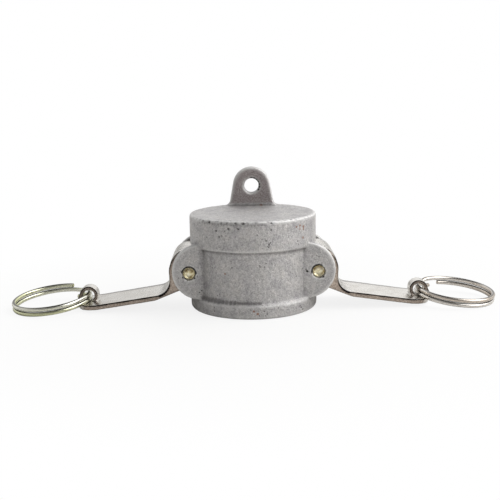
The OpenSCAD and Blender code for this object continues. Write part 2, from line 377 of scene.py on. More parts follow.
@dataclass
class Pattern:
    """Builds the repeated steps of a procedural finish in one node tree.

    Attributes:
        tree: The material's node tree.
        where: The coordinates that the finish lies in.
    """

    tree: Tree
    where: Socket

    def noise(self, size_mm: float, detail: float = 3.0, rough: float = 0.55) -> Socket:
        """Noise whose features are about size_mm across."""
        inputs = {"Vector": self.where, "Scale": 1 / (size_mm * MM), "Detail": detail, "Roughness": rough}
        return add_node(self.tree, "ShaderNodeTexNoise", inputs).outputs["Fac"]

    def band(self, fac: Socket, *stops: tuple[float, tuple]) -> Socket:
        """A value mapped through a colour ramp."""
        return add_node(self.tree, "ShaderNodeValToRGB", {"Fac": fac}, stops=stops).outputs["Color"]

    def maths(self, what: str, *values: Any) -> Socket:
        """One Math node's result."""
        return add_node(self.tree, "ShaderNodeMath", dict(enumerate(values)), operation=what).outputs[0]

    def mix(self, fac: Any, low: Any, high: Any, blend: str = "MIX") -> Socket:
        """Two colours mixed.

        Args:
            fac: Share of the second colour, a number or a socket.
            low: First colour or socket.
            high: Second colour or socket.
            blend: Blender's blend type.

        Returns:
            The mixed colour's socket.
        """
        inputs = {0: fac, 6: low, 7: high}
        return add_node(self.tree, "ShaderNodeMix", inputs, data_type="RGBA", blend_type=blend).outputs[2]

    def relief(self, *stops: tuple[float, tuple]) -> Socket:
        """How far the skin lies under its surroundings, through a ramp: 0.5 is flat, 1 is 0.25 mm under."""
        depth = add_node(self.tree, "ShaderNodeAttribute", attribute_name="relief").outputs["Fac"]
        return self.band(self.maths("MULTIPLY_ADD", depth, 2.0, 0.5), *stops)

    def turned_to(self, axis: str, low: float, high: float) -> Socket:
        """How squarely the skin faces along one axis, either way, from 0 at low to 1 at high."""
        facing = add_node(self.tree, "ShaderNodeTexCoord").outputs["Normal"]
        along = self.maths("ABSOLUTE", add_node(self.tree, "ShaderNodeSeparateXYZ", {0: facing}).outputs[axis])
        return add_node(self.tree, "ShaderNodeMapRange", {0: along, 1: low, 2: high}).outputs[0]

    def stain(self) -> Socket:
        """Where the tab's faces keep their dark casting skin: above the closed end, facing along Y."""
        place = add_node(self.tree, "ShaderNodeSeparateXYZ", {0: self.where}).outputs["Z"]
        above = add_node(self.tree, "ShaderNodeMapRange", {0: place, 1: 36.2 * MM, 2: 36.8 * MM}).outputs[0]
        return self.maths("MULTIPLY", above, self.turned_to("Y", 0.75, 0.97))

    def shaken(self, size_mm: float, reach_mm: float) -> Socket:
        """The coordinates, shaken by noise so that marks lose their round outline."""
        inputs = {"Vector": self.where, "Scale": 1 / (size_mm * MM), "Detail": 2.0}
        off = add_node(self.tree, "ShaderNodeTexNoise", inputs).outputs["Color"]
        flat = add_node(self.tree, "ShaderNodeVectorMath", {0: off, 1: (0.5, 0.5, 0.5)}, operation="SUBTRACT")
        grown = {0: flat.outputs[0], 3: 2 * reach_mm * MM}
        sized = add_node(self.tree, "ShaderNodeVectorMath", grown, operation="SCALE")
        return add_node(self.tree, "ShaderNodeVectorMath", {0: self.where, 1: sized.outputs[0]}).outputs[0]

    def marks(self, shaken: Socket, spots: Sequence[tuple[float, float, float, float]]) -> Socket:
        """Soft round marks at given places.

        Args:
            shaken: Coordinates in metres.
            spots: X, Y, Z and radius of each mark, in millimetres.

        Returns:
            1 inside a mark, 0 outside.
        """
        total: Socket | None = None
        for x, y, z, radius in spots:
            span = {0: shaken, 1: (x * MM, y * MM, z * MM)}
            apart = add_node(self.tree, "ShaderNodeVectorMath", span, operation="DISTANCE").outputs["Value"]
            limits = {0: apart, 1: 0.55 * radius * MM, 2: 1.15 * radius * MM, 3: 1.0, 4: 0.0}
            spot = add_node(self.tree, "ShaderNodeMapRange", limits).outputs[0]
            total = spot if total is None else self.maths("MAXIMUM", total, spot)
        assert total is not None
        return total

    def surface(self, skin: Any, height: Socket, rough: Any, metal: float, strength: float, depth_mm: float) -> Socket:
        """The shader itself.

        Args:
            skin: Colour socket.
            height: Height of the fine relief.
            rough: Roughness socket.
            metal: Share of metal.
            strength: Strength of the bump.
            depth_mm: Depth of the relief.

        Returns:
            The shader's output.
        """
        bump = add_node(self.tree, "ShaderNodeBump", {"Height": height, "Strength": strength, "Distance": depth_mm * MM})
        inputs = {"Base Color": skin, "Metallic": metal, "Roughness": rough, "Normal": bump.outputs["Normal"]}
        return add_node(self.tree, "ShaderNodeBsdfPrincipled", inputs).outputs["BSDF"]


# ------------------------------------------------------------------ finishes


def stake_places() -> list[tuple[float, float, float]]:
    """Where a punch closed the pin holes' rims over the pins, on both faces of each pair of ears."""
    turns = {Side.LEFT: (84, 211, 322), Side.RIGHT: (68, 186, 308)}
    return [
        (side.value * 23.6 + 2.45 * math.cos(math.radians(a)), face * 13.0, 15.0 + 2.45 * math.sin(math.radians(a)))
        for side, angles in turns.items()
        for a in angles
        for face in (-1, 1)
    ]


def arc_of(centre: Sequence[float], radius: float, start: int, stop: int, step: int, size: float) -> list[tuple[float, float, float, float]]:
    """Spots along an arc that lies upright and faces along Y.

    Args:
        centre: The arc's centre, in millimetres.
        radius: Its radius.
        start: First angle in degrees.
        stop: Last angle.
        step: Angle between spots.
        size: Each spot's radius.

    Returns:
        Rows of x, y, z and radius.
    """
    turns = [math.radians(a) for a in range(start, stop + 1, step)]
    return [(centre[0] + radius * math.cos(t), centre[1], centre[2] + radius * math.sin(t), size) for t in turns]


def rim_of(radius: float, height: float, start: int, stop: int, step: int, size: float) -> list[tuple[float, float, float, float]]:
    """Spots along a level arc round the cap's axis, angles counted from the front to the right."""
    turns = [math.radians(a) for a in range(start, stop + 1, step)]
    return [(radius * math.sin(t), -radius * math.cos(t), height, size) for t in turns]


@dataclass(frozen=True)
class Finish:
    """A surface finish that one material gives.

    Attributes:
        name: The real material and how it was made.
        slot: The record's material slot; not used.
    """

    name: str
    slot: str

    def shader(self, p: Pattern) -> Socket:
        """Build the surface and return its shader output."""
        raise NotImplementedError

    def material(self, grain: Grain) -> bpy.types.Material:
        """Make the material, or return it if it is made.

        Args:
            grain: Which coordinates the pattern lies in.

        Returns:
            The material, with its nodes built.
        """
        made = bpy.data.materials.get(self.name)
        if made:
            return made
        made = bpy.data.materials.new(self.name)
        made.use_nodes = True
        tree = made.node_tree
        tree.nodes.clear()
        where = add_node(tree, "ShaderNodeTexCoord").outputs[grain.value]
        add_node(tree, "ShaderNodeOutputMaterial", {"Surface": self.shader(Pattern(tree, where))})
        return made


@dataclass(frozen=True)
class CastAluminium(Finish):
    """Sand-cast aluminium alloy, tumbled: dull grey skin with fine grain, pores and rust specks, painted shade in its
    pores, corners and pin gaps, and edges painted lighter by wear and painted highlight.

    The sand leaves a grain of 0.2 to 0.5 mm; it is drawn at 0.45 mm, so that it shows.
    """

    base: str = "#bebcbb"
    grain_mm: float = 0.45
    rust: Sequence[tuple[float, float, float, float]] = (
        (15.3, -17.9, 32.4, 0.4),
        (16.6, -16.6, 32.7, 0.5),
        (16.6, -16.6, 31.5, 0.35),
        (17.9, -15.2, 32.0, 0.65),
        (17.9, -15.2, 31.1, 0.4),
        (17.7, -15.4, 28.1, 0.5),
        (-0.4, -23.6, 3.3, 0.45),
        (1.0, -23.6, 2.4, 0.55),
        (3.6, 16.0, 35.5, 0.75),
        (-10.4, -19.9, 16.3, 0.4),
    )
    pores: Sequence[tuple[float, float, float, float]] = (
        (-17.8, -15.3, 34.9, 0.4),
        (-15.6, -17.5, 34.6, 0.55),
        (-11.3, -20.6, 34.9, 0.45),
        (-8.9, -21.7, 32.8, 0.35),
        (-6.4, -22.6, 34.9, 0.55),
        (-3.6, -23.2, 34.8, 0.65),
        (-4.4, -23.1, 34.9, 0.4),
        (-1.9, -23.4, 34.6, 0.35),
        (-5.4, -22.9, 32.9, 0.35),
        (-13.2, -19.5, 31.8, 0.4),
        (5.4, -22.9, 34.9, 0.35),
        (6.3, -22.6, 34.6, 0.4),
        (6.1, -22.7, 32.3, 0.35),
        (4.3, -23.1, 28.5, 0.35),
        (5.3, -22.9, 27.2, 0.35),
        (5.1, -22.9, 26.2, 0.3),
        (20.0, -12.6, 35.2, 0.5),
        (-2.4, -23.5, 5.8, 0.3),
        (19.3, -13.0, 15.2, 0.55),
        (16.4, -17.1, 3.3, 0.35),
        (16.9, -16.5, 2.6, 0.35),
        (17.5, -15.9, 1.7, 0.35),
    )

    def shader(self, p: Pattern) -> Socket:
        """Grey metal with grain in its colour, roughness and relief."""
        grain, mottle = p.noise(self.grain_mm, 5, 0.8), p.noise(4.5, 3, 0.6)
        lumps = p.noise(1.0, 3, 0.6)
        skin = p.mix(1.0, srgb(self.base), p.band(grain, (0.34, grey(0.58)), (0.5, grey(0.97)), (0.66, grey(1.28))), "MULTIPLY")
        skin = p.mix(1.0, skin, p.band(lumps, (0.36, grey(0.84)), (0.5, grey(1.0)), (0.66, grey(1.1))), "MULTIPLY")
        skin = p.mix(1.0, skin, p.band(mottle, (0.34, (0.86, 0.85, 0.87, 1)), (0.5, grey(1.0)), (0.7, (1.07, 1.06, 1.04, 1))), "MULTIPLY")
        skin = p.mix(p.stain(), skin, p.band(grain, (0.36, srgb("#6a605e")), (0.5, srgb("#a09898")), (0.66, srgb("#c4bdb9"))))
        # Pores that the sand leaves, 0.3 to 0.6 mm wide, thick in some places and absent in others; their near-black
        # colour is painted shade inside them
        cells = add_node(p.tree, "ShaderNodeTexVoronoi", {"Vector": p.where, "Scale": 1 / (1.3 * MM)}).outputs["Distance"]
        patches = p.band(p.noise(6.0, 2), (0.54, grey(0)), (0.66, grey(1)))
        open_pores = p.mix(1.0, p.band(cells, (0.1, grey(1)), (0.26, grey(0))), patches, "MULTIPLY")
        shaken = p.shaken(0.5, 0.28)
        holes = p.maths("MAXIMUM", open_pores, p.marks(shaken, self.pores))
        skin = p.mix(p.maths("MULTIPLY", holes, 0.85), skin, srgb("#423e3d"))
        # Painted shade darkens the corner over the collar, a band under the crown's rim and the waist beside the left
        # ears
        corner = rim_of(22.6, 6.0, -58, -34, 4, 1.3) + rim_of(22.6, 5.9, -30, -18, 4, 1.0) + rim_of(22.6, 5.8, -15, 5, 2, 0.7)
        skin = p.mix(p.maths("MULTIPLY", p.marks(shaken, corner), 0.55), skin, srgb("#4f4b4b"))
        # Painted shade beside the left ears
        beside = [(-17.6, -13.6, z, 2.3) for z in range(7, 25, 3)]
        skin = p.mix(p.maths("MULTIPLY", p.marks(shaken, beside), 0.16), skin, srgb("#4a4646"))
        # Painted shade under the crown's rim
        thin = rim_of(23.6, 34.5, -50, 10, 3, 0.8)
        skin = p.mix(p.maths("MULTIPLY", p.marks(shaken, thin), 0.5), skin, srgb("#3f3b3a"))
        skin = p.mix(p.maths("MULTIPLY", p.marks(shaken, self.rust), 0.75), skin, srgb("#8a5a3a"))
        # The outside edges are painted lighter, partly handling wear and partly painted highlight; the corners and
        # pits are painted darker, partly grime and partly painted shade
        skin = p.mix(p.relief((0.1, grey(0.7)), (0.42, grey(0))), skin, srgb("#e0dfdd"))
        skin = p.mix(p.relief((0.56, grey(0)), (0.8, grey(0.55)), (1.0, grey(0.85))), skin, srgb("#3f3b3a"))
        # Painted shade: near-black spots in the punch dents round the pins and round the inside of the tab's hole
        dark = [(*place, 0.5) for place in stake_places()] + arc_of((0, 16.8, 43.19), 2.95, -30, 90, 20, 0.55)
        for face in (-1, 1):
            # The pins sit a little low in their holes; the gap over them is painted as a near-black shadow
            dark += arc_of((-23.6, face * 13.0, 15.0), 2.5, 5, 165, 8, 0.5) + arc_of((23.6, face * 13.0, 15.0), 2.5, 85, 185, 8, 0.5)
        skin = p.mix(p.marks(p.where, dark), skin, srgb("#151312"))
        rough = p.band(grain, (0.3, grey(0.48)), (0.7, grey(0.64)))
        height = p.maths("MULTIPLY_ADD", lumps, 1.6, p.maths("SUBTRACT", grain, p.maths("MULTIPLY", holes, 1.3)))
        return p.surface(skin, height, rough, 0.8, 0.7, 0.2)



@dataclass(frozen=True)
class TumbledStainless(Finish):
    """Investment-cast stainless steel: handle ground and tumbled to a satin, flanks left dull and brownish and
    darkened further by painted shade, with painted shade along its edges and bend.
    """

    base: str = "#d6d3cd"

    def shader(self, p: Pattern) -> Socket:
        """Bright warm metal with fine pitting, duller flanks and painted shade."""
        fine, slow = p.noise(0.5, 4, 0.75), p.noise(5.0, 3, 0.6)
        skin = p.mix(1.0, srgb(self.base), p.band(fine, (0.33, grey(0.72)), (0.5, grey(0.98)), (0.67, grey(1.12))), "MULTIPLY")
        skin = p.mix(1.0, skin, p.band(slow, (0.36, (0.86, 0.84, 0.82, 1)), (0.6, grey(1.0))), "MULTIPLY")
        # The flanks are coloured duller and browner, partly their as-cast skin and partly painted shade
        flank = p.turned_to("Y", 0.6, 0.92)
        skin = p.mix(flank, skin, p.band(fine, (0.34, srgb("#8d7f75")), (0.5, srgb("#bfb0a3")), (0.66, srgb("#d8cbbf"))))
        # Painted shade: a near-black line on the rounded edges where the ground faces turn into the flanks
        edge = p.relief((0.2, grey(1)), (0.46, grey(0)))
        slant = add_node(p.tree, "ShaderNodeSeparateXYZ", {0: add_node(p.tree, "ShaderNodeTexCoord").outputs["Normal"]}).outputs["Z"]
        upward = add_node(p.tree, "ShaderNodeMapRange", {0: slant, 1: -0.1, 2: 0.15, 3: 0.25, 4: 1.0}).outputs[0]
        painted_edge_shade = p.maths("MULTIPLY", p.maths("MULTIPLY", edge, p.turned_to("Y", 0.25, 0.55)), upward)
        skin = p.mix(painted_edge_shade, skin, srgb("#1b1716"))
        # Painted shade also darkens the top along the strip's far edge, and lies near-black and thick at its bend
        across = add_node(p.tree, "ShaderNodeSeparateXYZ", {0: p.where}).outputs["Y"]
        far = add_node(p.tree, "ShaderNodeMapRange", {0: across, 1: 6.2 * MM, 2: 8.0 * MM}).outputs[0]
        skin = p.mix(p.maths("MULTIPLY", p.maths("MULTIPLY", far, p.turned_to("Z", 0.85, 0.96)), 0.8), skin, srgb("#4a4340"))
        # Near-black painted shade on the flanks round the bend
        bend = []
        for face in (-1, 1):
            bend += arc_of((36.6, face * 9.6, 11.2), 5.2, 196, 250, 9, 0.65) + arc_of((-36.6, face * 9.6, 11.2), 5.2, 292, 350, 9, 0.8)
        skin = p.mix(p.marks(p.where, bend), skin, srgb("#171312"))
        # The flanks round the eyes are made darker
        eyes = p.marks(p.where, [(side.value * 62.1, face * 2.6, 5.15, 4.4) for side in Side for face in (-1, 1)])
        skin = p.mix(p.maths("MULTIPLY", p.maths("MULTIPLY", eyes, flank), 0.25), skin, srgb("#3b322e"))
        # Hollows are painted darker, partly grime and partly painted shade
        skin = p.mix(p.relief((0.6, grey(0)), (0.95, grey(0.8))), skin, srgb("#3a3330"))
        rough = p.mix(flank, p.band(fine, (0.3, grey(0.2)), (0.7, grey(0.34))), grey(0.5))
        return p.surface(skin, fine, rough, 1.0, 0.25, 0.05)


@dataclass(frozen=True)
class DrawnBrass(Finish):
    """Drawn brass rod, cut and peened: pale yellow with a dull tarnish."""

    base: str = "#e6dcb4"

    def shader(self, p: Pattern) -> Socket:
        """Yellow metal, blotched by tarnish and rough from peening."""
        blotch = p.noise(1.1, 4, 0.65)
        skin = p.band(blotch, (0.36, srgb("#a58b58")), (0.5, srgb(self.base)), (0.66, srgb("#f6f0dc")))
        # The peening hammer dishes each end; the upper wall of the dish is painted in shadow, and the punch cuts at
        # the rim are painted near-black as shade
        dish_shadow, cuts = [], [(x, y * 0.948, z, 0.5) for x, y, z in stake_places()]
        for side in Side:
            for face in (-1, 1):
                dish_shadow += arc_of((side.value * 23.6, face * 12.4, 15.0), 1.2, 35, 145, 18, 0.8)
        skin = p.mix(p.maths("MULTIPLY", p.marks(p.where, dish_shadow), 0.8), skin, srgb("#5a4228"))
        skin = p.mix(p.marks(p.where, cuts), skin, srgb("#191513"))
        return p.surface(skin, blotch, p.band(blotch, (0.3, grey(0.5)), (0.7, grey(0.28))), 1.0, 0.4, 0.12)


@dataclass(frozen=True)
class PlatedWire(Finish):
    """Hardened steel wire, zinc plated and passivated: bright, with drawing lines along the wire.

    The lines are about 0.1 mm apart on the real wire and are drawn at 0.25 mm, so that they show.
    """

    base: str = "#d2cfc4"
    tint: str = "#b4b184"

    def shader(self, p: Pattern) -> Socket:
        """Bright metal whose tint drifts and whose lines run along the wire."""
        stretched = add_node(p.tree, "ShaderNodeMapping", {"Vector": p.where, "Scale": (0.02, 1.0, 1.0)}).outputs["Vector"]
        lines = add_node(p.tree, "ShaderNodeTexNoise", {"Vector": stretched, "Scale": 4.0, "Detail": 1.0}).outputs["Fac"]
        drift = add_node(p.tree, "ShaderNodeTexNoise", {"Vector": stretched, "Scale": 0.8, "Detail": 1.0}).outputs["Fac"]
        skin = p.band(drift, (0.35, srgb(self.tint)), (0.55, srgb(self.base)))
        # Painted shade darkens the sides where the coils face each other
        over = p.maths("SUBTRACT", add_node(p.tree, "ShaderNodeSeparateXYZ", {0: p.where}).outputs["Y"], math.pi * 0.4)
        coil_gap_shade = add_node(p.tree, "ShaderNodeMapRange", {0: p.maths("ABSOLUTE", over), 1: 0.2, 2: 0.66, 3: 0.9, 4: 0.0}).outputs[0]
        skin = p.mix(coil_gap_shade, skin, srgb("#2c251e"))
        return p.surface(skin, lines, p.band(lines, (0.35, grey(0.2)), (0.65, grey(0.26))), 1.0, 0.02, 0.002)


@dataclass(frozen=True)
class NitrileRubber(Finish):
    """Moulded nitrile rubber: near black, matte, with a faint bloom."""

    base: str = "#26262a"

    def shader(self, p: Pattern) -> Socket:
        """Dark matte rubber with a dusty bloom."""
        bloom = p.noise(2.4, 4, 0.6)
        skin = p.band(bloom, (0.4, srgb(self.base)), (0.75, srgb("#3b3b3e")))
        return p.surface(skin, bloom, p.band(bloom, (0.3, grey(0.62)), (0.7, grey(0.8))), 0.0, 0.2, 0.05)


CAST = CastAluminium("sand_cast_aluminium", "cast_aluminium")
STAINLESS = TumbledStainless("tumbled_stainless_casting", "stainless_casting")
BRASS = DrawnBrass("drawn_brass", "yellow_brass")
WIRE = {
    Side.LEFT: PlatedWire("plated_wire_yellow", "zinc_plated_wire", base="#dddcd0", tint="#c3c592"),
    Side.RIGHT: PlatedWire("plated_wire_plain", "zinc_plated_wire", base="#dedad4", tint="#b8aa9a"),
}
RUBBER = NitrileRubber("moulded_nitrile", "nitrile_rubber")


def dress(obj: bpy.types.Object, finish: Finish, body: str, node: str, grain: Grain = Grain.ALL_ROUND) -> bpy.types.Object:
    """Give a piece its finish and its body, and hide the CAD node that it stands for.

    Args:
        obj: The piece.
        finish: Its finish.
        body: The CAD body that it rides on.
        node: The CAD node that it replaces.
        grain: Which coordinates the pattern lies in.

    Returns:
        The same piece.
    """
    obj.data.materials.clear()
    obj.data.materials.append(finish.material(grain))
    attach(obj, body)
    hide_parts(node)
    log.info("%s: %d faces of %s on %s", obj.name, len(obj.data.polygons), finish.name, body)
    return obj


# ------------------------------------------------------------------- pieces


@dataclass
class CapCasting:
    """The cast cup with its ears and tab.

    Attributes:
        voxel_mm: Cell size of the casting's skin.
        faces: About how many triangles stay.
        wave_mm: Depth of the casting's slow unevenness.
        pin_at: X and Z of the pins.
        crown: Radius and height of the crown's rim.
        hole_z: Height of the tab's hole.
        dints: Centre, radius and depth of each dint.
    """

    voxel_mm: float = 0.24
    faces: int = 190000
    wave_mm: float = 0.04
    pin_at: tuple[float, float] = (23.6, 15.0)
    crown: tuple[float, float] = (23.5, 35.39)
    hole_z: float = 43.19
    dints: list[tuple[Point, float, float]] = field(
        default_factory=lambda: [
            ((-12.2, -20.1, 29.7), 0.9, 0.3),
            ((-11.3, -20.6, 30.2), 0.7, 0.2),
            ((-8.9, -21.7, 32.8), 0.8, 0.18),
            ((-3.9, -23.2, 34.9), 0.8, 0.3),
            ((-6.4, -22.6, 35.0), 0.7, 0.25),
            ((-15.6, -17.5, 34.8), 0.8, 0.25),
            ((6.0, -22.7, 34.8), 0.7, 0.18),
            ((5.2, -22.9, 26.8), 0.8, 0.15),
            ((20.2, -12.4, 35.2), 0.9, 0.25),
            ((16.4, -17.1, 3.2), 0.6, 0.22),
            ((16.9, -16.5, 2.6), 0.6, 0.22),
            ((17.5, -15.9, 1.8), 0.6, 0.22),
            ((19.3, -13.1, 15.2), 0.45, 0.35),
        ]
    )

    def open_skin(self, points: np.ndarray) -> np.ndarray:
        """Where the outer skin may be shaped, 0 to 1: off the bores, slots and pin recesses."""
        radius = np.hypot(points[:, 0], points[:, 1])
        from_pin = np.hypot(np.abs(points[:, 0]) - self.pin_at[0], points[:, 2] - self.pin_at[1])
        from_hole = np.hypot(points[:, 0], points[:, 2] - self.hole_z) + 9 * (points[:, 2] < self.crown[1])
        slot = (np.abs(points[:, 1]) < 10.4) & (from_pin < 9.6)
        outside = (radius > 21.6) & (points[:, 2] > 1.0) | (points[:, 2] > self.crown[1] - 0.2)
        return (outside & ~slot & (from_pin > 3.4) & (from_hole > 3.6)).astype(float)

    def fillet_share(self, points: np.ndarray) -> np.ndarray:
        """How freely a fillet grows: wide over the collar, tight under the crown and at the tab."""
        share = np.where(points[:, 2] > self.crown[1] - 0.2, 0.12, 0.8)
        under_crown = (np.abs(points[:, 2] - 24.2) < 2.4) & (np.hypot(points[:, 0], points[:, 1]) < 24.5)
        return np.where(under_crown, 0.08, share)

    def build(self) -> bpy.types.Object:
        """Make the casting and dress it."""
        skin = CastSkin.over("cap_body", self.voxel_mm, 2)
        where = self.open_skin(skin.points)
        skin.move(skin.settle(where * self.fillet_share(skin.points), 120, hollows=True, flat_mm=0.003))
        # Tumbling rounds the outside edges, those of the tab most
        tab = skin.points[:, 2] > self.crown[1] + 0.8
        skin.move(skin.settle(where * 0.5, 13))
        skin.move(skin.settle(where * tab * 0.5, 10))
        points, outward = skin.points, skin.outward
        push = self.wave_mm * waviness(points, 4.5, 3.1) + 0.015 * waviness(points, 1.2, 8.3)
        radius = np.hypot(points[:, 0], points[:, 1])
        # The crown's rim is nicked where castings knocked against each other
        rim = np.clip(1 - np.hypot(radius - self.crown[0], points[:, 2] - self.crown[1]) / 1.2, 0, 1)
        nicks = np.flatnonzero(rim > 0)
        push[nicks] -= rim[nicks] * np.clip(waviness(points[nicks], 1.1, 21.0) - 0.05, 0, None) * 0.6
        for at, size, depth in self.dints + [(place, 0.5, 0.4) for place in stake_places()]:
            push -= dinted(points, at, size, depth)
        calm = (points[:, 2] < 0.4) | (radius < 20.5) & ~tab | (np.abs(points[:, 1]) < 10.3) & (radius < 23)
        push[calm & (points[:, 2] < 34.0)] = 0
        skin.move(points + outward * push[:, None])
        skin.mark_relief(40)
        return dress(skin.lean("cap_casting", self.faces), CAST, "cap", "cap_body")


@dataclass
class SealingRing:
    """The rubber gasket under the closed end.

    Attributes:
        width_mm: Radial width.
        lip_mm: Radius on its corners.
        bead_mm: Height of the sealing beads on its face.
    """

    width_mm: float = 6.3
    lip_mm: float = 0.45
    bead_mm: float = 0.18

    def build(self) -> bpy.types.Object:
        """Turn the gasket's section, with rounded lips and beads, and dress it."""
        low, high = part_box("gasket")
        outer, bottom, top = high.x / MM, low.z / MM, high.z / MM
        inner, lip = outer - self.width_mm, self.lip_mm
        quarter = [(math.cos(a), math.sin(a)) for a in np.linspace(0, math.pi / 2, 6)]
        profile = [(outer - lip + lip * c, top - lip + lip * s) for c, s in quarter]
        profile += [(inner + lip - lip * s, top - lip + lip * c) for c, s in quarter]
        profile += [(inner + lip - lip * c, bottom + lip - lip * s) for c, s in quarter]
        for share in np.linspace(0.04, 0.96, 25):
            radius = inner + lip + (self.width_mm - 2 * lip) * share
            profile.append((radius, bottom + self.bead_mm * math.sin(share * math.pi * 3) ** 2))
        profile += [(outer - lip + lip * s, bottom + lip - lip * c) for c, s in quarter]
        return dress(turned("gasket_ring", profile, 160), RUBBER, "cap", "gasket")


@dataclass
class PivotPin:
    """A brass pin whose ends are peened into a shallow dish.

    Attributes:
        side: The ears that it crosses.
        dish_mm: Depth of the dish in each end.
    """

    side: Side
    dish_mm: float = 0.55

    def build(self) -> bpy.types.Object:
        """Turn the pin, peen its ends and dress it."""
        node = f"pivot_pin_{self.side.label}"
        low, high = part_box(node)
        radius, half = (high.x - low.x) / 2 / MM, high.y / MM
        shares = np.linspace(0.0, 0.86, 16)
        end = [(radius * s, half - self.dish_mm * (1 - (s / 0.86) ** 4)) for s in shares]
        end += [(radius * 0.93, half - 0.04), (radius * 0.98, half - 0.16), (radius, half - 0.4)]
        body = [(radius, h) for h in (half * 0.5, 0.0, -half * 0.5)]
        profile = [(r, -y) for r, y in end] + body[::-1] + [(r, y) for r, y in reversed(end)]
        obj = turned(f"pin_{self.side.label}", profile, 72)
        points = points_of(obj.data)
        points = np.stack([points[:, 0], -points[:, 2], points[:, 1]], axis=1)
        ends = np.flatnonzero(np.abs(points[:, 1]) > half - 0.35)
        peened = 0.09 * np.abs(waviness(points[ends], 0.8, 5.0 + self.side.value))
        points[ends, 1] -= np.sign(points[ends, 1]) * peened
        points += np.array([(low.x + high.x) / 2, 0, (low.z + high.z) / 2]) / MM
        move_points(obj.data, points)
        return dress(obj, BRASS, "cap", node)


@dataclass
class CamLever:
    """A cast stainless lever: hub, web, handle strip and ring eye.

    Attributes:
        side: The side that it is on.
        voxel_mm: Cell size of the lever's skin.
        wave_mm: Depth of its unevenness.
        faces: About how many triangles stay.
    """

    side: Side
    voxel_mm: float = 0.2
    wave_mm: float = 0.03
    faces: int = 120000

    def build(self) -> bpy.types.Object:
        """Make the lever from its CAD node, soften and dress it."""
        node = f"cam_arm_{self.side.label}"
        skin = CastSkin.over(node, self.voxel_mm, 4)
        points = skin.points
        near_hub = np.hypot(np.abs(points[:, 0]) - 23.6, points[:, 2] - 15.0) < 6.5
        eye = np.hypot(np.abs(points[:, 0]) - 62.1, points[:, 2] - 5.15) < 2.5
        free = np.where(near_hub | eye, 0, 1.0)
        skin.move(skin.settle(free * 0.7, 50, hollows=True, flat_mm=0.004))
        skin.move(skin.settle(free * 0.5, 8))
        points, outward = skin.points, skin.outward
        push = self.wave_mm * waviness(points, 4.0, 2.0 * self.side.value)
        push[near_hub | eye] = 0
        skin.move(points + outward * push[:, None])
        skin.mark_relief(36)
        points = skin.points
        # The foot's tip is worn short under the eye
        over = np.clip(np.abs(points[:, 0]) - 62.6, 0, None) * np.clip((3.2 - points[:, 2]) / 1.2, 0, 1)
        points[:, 0] -= self.side.value * over * 0.3
        skin.move(points)
        return dress(skin.lean(f"lever_{self.side.label}", self.faces), STAINLESS, f"{self.side.label}_lever", node)


